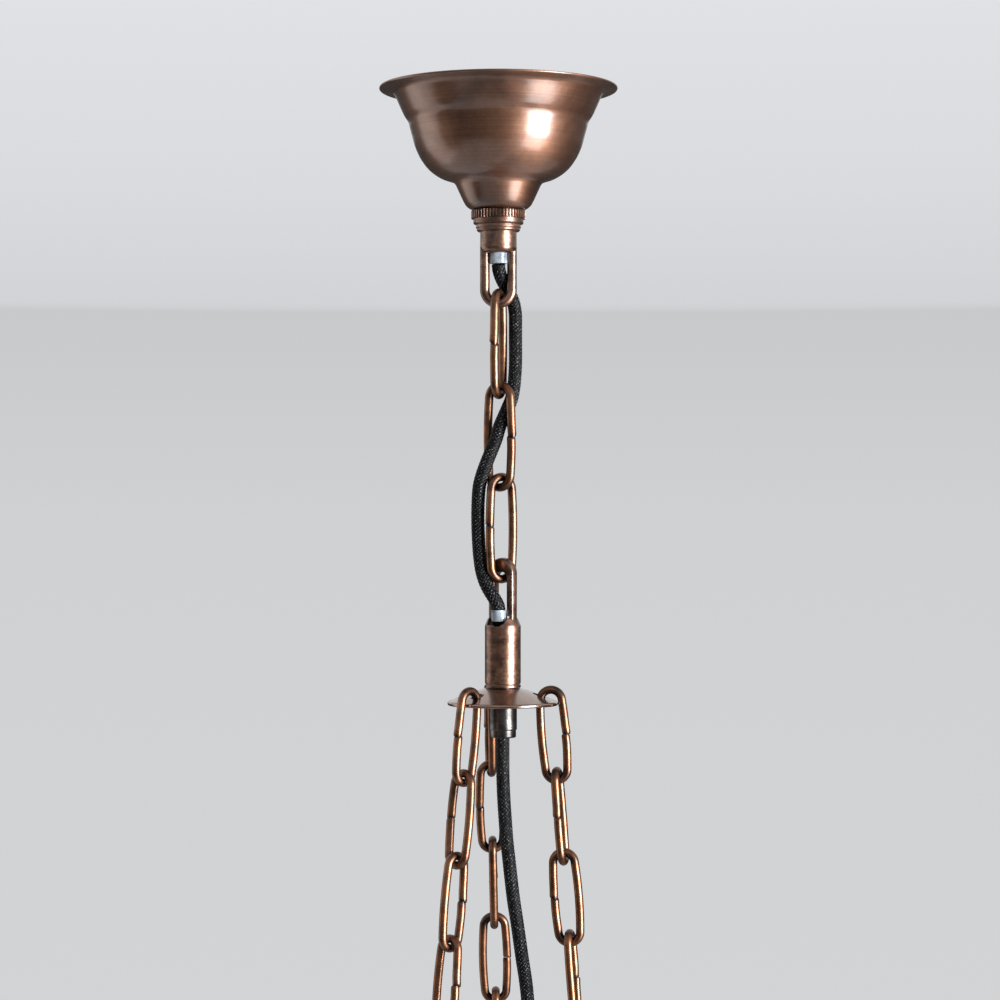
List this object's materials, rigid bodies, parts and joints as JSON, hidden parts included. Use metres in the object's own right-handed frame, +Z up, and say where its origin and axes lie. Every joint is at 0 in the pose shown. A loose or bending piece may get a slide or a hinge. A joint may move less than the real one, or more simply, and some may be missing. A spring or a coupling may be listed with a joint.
{
  "type": "chandelier",
  "caption": "Chain suspension of a chandelier: bell ceiling rose, link chain with woven-in flex, chain hanger with chain legs ending in hooks, and a hanging lampholder.",
  "frame": {"origin": "centre of the ceiling plate's upper face", "axes": "+Z up to the ceiling, +Y away from the picture's camera, +X to the picture's right"},
  "size_m": [0.1076, 0.1134, 0.5513],
  "materials": {
    "antique_copper": "antique copper plate, spun and hand rubbed, brown patina",
    "copper_plated_steel": "copper-plated steel wire, darkened in the bends and rubbed bright on the crowns",
    "black_braid": "black cotton braid over a round flex",
    "zinc_plated_steel": "bright zinc plate",
    "plain_brass": "turned brass",
    "clear_nylon": "translucent white nylon",
    "black_bush": "blackened turned steel",
    "white_polyamide": "moulded white polyamide",
    "glazed_porcelain": "glazed white porcelain",
    "brown_insulation": "brown insulation",
    "blue_insulation": "blue insulation",
    "green_insulation": "green insulation with a yellow stripe"
  },
  "bodies": {
    "ceiling_mount": {"ceiling_plate": "zinc_plated_steel", "bridge_bracket": "zinc_plated_steel", "threaded_stud": "zinc_plated_steel", "upper_stud_nut": "plain_brass", "lower_stud_nut": "plain_brass", "terminal_block": "white_polyamide", "terminal_screw_1": "plain_brass", "terminal_screw_2": "plain_brass", "terminal_screw_3": "plain_brass", "live_core": "brown_insulation", "earth_core": "green_insulation", "neutral_core": "blue_insulation", "loop_fitting": "antique_copper", "upper_cord_grip": "clear_nylon", "flex_inlet": "black_braid", "flex_upper": "black_braid"},
    "rose": {"rose_cover": "antique_copper"},
    "ring": {"lock_ring": "antique_copper"},
    "upper_link_1": {"chain_link_1": "copper_plated_steel"},
    "upper_link_2": {"chain_link_2": "copper_plated_steel"},
    "upper_link_3": {"chain_link_3": "copper_plated_steel"},
    "hanger_assembly": {"hanger": "antique_copper", "slot_cord_grip": "clear_nylon", "leg_disc": "antique_copper", "disc_bush": "black_bush", "flex_in_hanger": "black_braid"},
    "right_link_1": {"right_leg_link_1": "copper_plated_steel"},
    "right_link_2": {"right_leg_link_2": "copper_plated_steel"},
    "right_link_3": {"right_leg_link_3": "copper_plated_steel"},
    "right_link_4": {"right_leg_link_4": "copper_plated_steel"},
    "right_link_5": {"right_leg_link_5": "copper_plated_steel"},
    "right_hook": {"right_leg_hook": "copper_plated_steel"},
    "rear_link_1": {"rear_leg_link_1": "copper_plated_steel"},
    "rear_link_2": {"rear_leg_link_2": "copper_plated_steel"},
    "rear_link_3": {"rear_leg_link_3": "copper_plated_steel"},
    "rear_link_4": {"rear_leg_link_4": "copper_plated_steel"},
    "rear_link_5": {"rear_leg_link_5": "copper_plated_steel"},
    "rear_hook": {"rear_leg_hook": "copper_plated_steel"},
    "left_link_1": {"left_leg_link_1": "copper_plated_steel"},
    "left_link_2": {"left_leg_link_2": "copper_plated_steel"},
    "left_link_3": {"left_leg_link_3": "copper_plated_steel"},
    "left_link_4": {"left_leg_link_4": "copper_plated_steel"},
    "left_link_5": {"left_leg_link_5": "copper_plated_steel"},
    "left_hook": {"left_leg_hook": "copper_plated_steel"},
    "lampholder": {"flex_lower": "black_braid", "holder_cap": "antique_copper", "holder_cord_grip": "black_bush", "holder_insert": "glazed_porcelain", "centre_contact": "plain_brass", "screw_socket": "plain_brass", "holder_skirt": "antique_copper"},
    "shade_collar": {"shade_ring": "antique_copper"}
  },
  "joints": [
    {"name": "cover_drop", "type": "slide", "parent": "ceiling_mount", "child": "rose", "axis": [0, 0, 1], "range_m": [-0.02, 0]},
    {"name": "lock_ring_turn", "type": "hinge", "parent": "rose", "child": "ring", "pos_m": [0, 0, -0.06], "axis": [0, 0, 1], "continuous": true},
    {"name": "link_1_swing", "type": "hinge", "parent": "ceiling_mount", "child": "upper_link_1", "pos_m": [0, 0, -0.0975], "axis": [1, 0, 0], "range_deg": [-25, 25], "deforming": ["flex_upper"]},
    {"name": "link_2_swing", "type": "hinge", "parent": "upper_link_1", "child": "upper_link_2", "pos_m": [0.0001, 0, -0.1392], "axis": [0.299, 0.9542, 0], "range_deg": [-20, 20]},
    {"name": "link_3_swing", "type": "hinge", "parent": "upper_link_2", "child": "upper_link_3", "pos_m": [0.0006, 0, -0.1808], "axis": [0.8131, -0.5821, 0], "range_deg": [-12, 12]},
    {"name": "hanger_swing", "type": "hinge", "parent": "upper_link_3", "child": "hanger_assembly", "pos_m": [0.0014, 0, -0.2224], "axis": [0.7923, 0.6101, 0], "range_deg": [-20, 20]},
    {"name": "right_link_1_swing", "type": "hinge", "parent": "hanger_assembly", "child": "right_link_1", "pos_m": [0.02353, -0.00497, -0.2781], "axis": [-0.225, -0.9744, 0], "range_deg": [-2, 20]},
    {"name": "right_link_2_swing", "type": "hinge", "parent": "right_link_1", "child": "right_link_2", "pos_m": [0.02662, -0.00568, -0.31344], "axis": [0.9712, -0.2242, 0.0807], "range_deg": [-8, 8]},
    {"name": "right_link_3_swing", "type": "hinge", "parent": "right_link_2", "child": "right_link_3", "pos_m": [0.0295, -0.00635, -0.35002], "axis": [-0.225, -0.9744, 0], "range_deg": [-4, 8]},
    {"name": "right_link_4_swing", "type": "hinge", "parent": "right_link_3", "child": "right_link_4", "pos_m": [0.03239, -0.00702, -0.3866], "axis": [0.9712, -0.2242, 0.0807], "range_deg": [-8, 8]},
    {"name": "right_link_5_swing", "type": "hinge", "parent": "right_link_4", "child": "right_link_5", "pos_m": [0.03528, -0.00768, -0.42318], "axis": [-0.225, -0.9744, 0], "range_deg": [-4, 8]},
    {"name": "right_hook_swing", "type": "hinge", "parent": "right_link_5", "child": "right_hook", "pos_m": [0.03816, -0.00835, -0.45976], "axis": [0.9712, -0.2242, 0.0807], "range_deg": [-10, 10]},
    {"name": "rear_link_1_swing", "type": "hinge", "parent": "hanger_assembly", "child": "rear_link_1", "pos_m": [-0.00446, 0.02113, -0.2781], "axis": [0.9563, 0.2924, 0], "range_deg": [-2, 20]},
    {"name": "rear_link_2_swing", "type": "hinge", "parent": "rear_link_1", "child": "rear_link_2", "pos_m": [-0.00341, 0.02771, -0.31301], "axis": [-0.1445, 0.9754, 0.1663], "range_deg": [-8, 8]},
    {"name": "rear_link_3_swing", "type": "hinge", "parent": "rear_link_2", "child": "rear_link_3", "pos_m": [-0.00268, 0.03399, -0.34917], "axis": [0.9749, 0.2154, 0.057], "range_deg": [-4, 8]},
    {"name": "rear_link_4_swing", "type": "hinge", "parent": "rear_link_3", "child": "rear_link_4", "pos_m": [-0.00195, 0.04026, -0.38532], "axis": [-0.0034, 0.9853, 0.1709], "range_deg": [-8, 8]},
    {"name": "rear_link_5_swing", "type": "hinge", "parent": "rear_link_4", "child": "rear_link_5", "pos_m": [-0.00122, 0.04653, -0.42147], "axis": [0.9998, -0.0034, 0.0196], "range_deg": [-4, 8]},
    {"name": "rear_hook_swing", "type": "hinge", "parent": "rear_link_5", "child": "rear_hook", "pos_m": [-0.00049, 0.0528, -0.45763], "axis": [-0.0034, 0.9853, 0.1709], "range_deg": [-10, 10]},
    {"name": "left_link_1_swing", "type": "hinge", "parent": "hanger_assembly", "child": "left_link_1", "pos_m": [-0.01307, -0.01616, -0.2781], "axis": [-0.7314, 0.682, 0], "range_deg": [-2, 20]},
    {"name": "left_link_2_swing", "type": "hinge", "parent": "left_link_1", "child": "left_link_2", "pos_m": [-0.01578, -0.0198, -0.31331], "axis": [-0.6773, -0.7263, 0.1172], "range_deg": [-8, 8]},
    {"name": "left_link_3_swing", "type": "hinge", "parent": "left_link_2", "child": "left_link_3", "pos_m": [-0.01871, -0.02294, -0.34975], "axis": [-0.7314, 0.682, 0], "range_deg": [-4, 8]},
    {"name": "left_link_4_swing", "type": "hinge", "parent": "left_link_3", "child": "left_link_4", "pos_m": [-0.02164, -0.02609, -0.3862], "axis": [-0.6773, -0.7263, 0.1172], "range_deg": [-8, 8]},
    {"name": "left_link_5_swing", "type": "hinge", "parent": "left_link_4", "child": "left_link_5", "pos_m": [-0.02457, -0.02923, -0.42265], "axis": [-0.7314, 0.682, 0], "range_deg": [-4, 8]},
    {"name": "left_hook_swing", "type": "hinge", "parent": "left_link_5", "child": "left_hook", "pos_m": [-0.02751, -0.03238, -0.4591], "axis": [-0.6773, -0.7263, 0.1172], "range_deg": [-10, 10]},
    {"name": "lampholder_swing", "type": "hinge", "parent": "hanger_assembly", "child": "lampholder", "pos_m": [0.002, 0, -0.2946], "axis": [0, 1, 0], "range_deg": [-5, 5], "deforming": ["flex_lower"]},
    {"name": "shade_ring_turn", "type": "hinge", "parent": "lampholder", "child": "shade_collar", "pos_m": [0.0068, 0, -0.533], "axis": [0, 0, 1], "continuous": true}
  ]
}
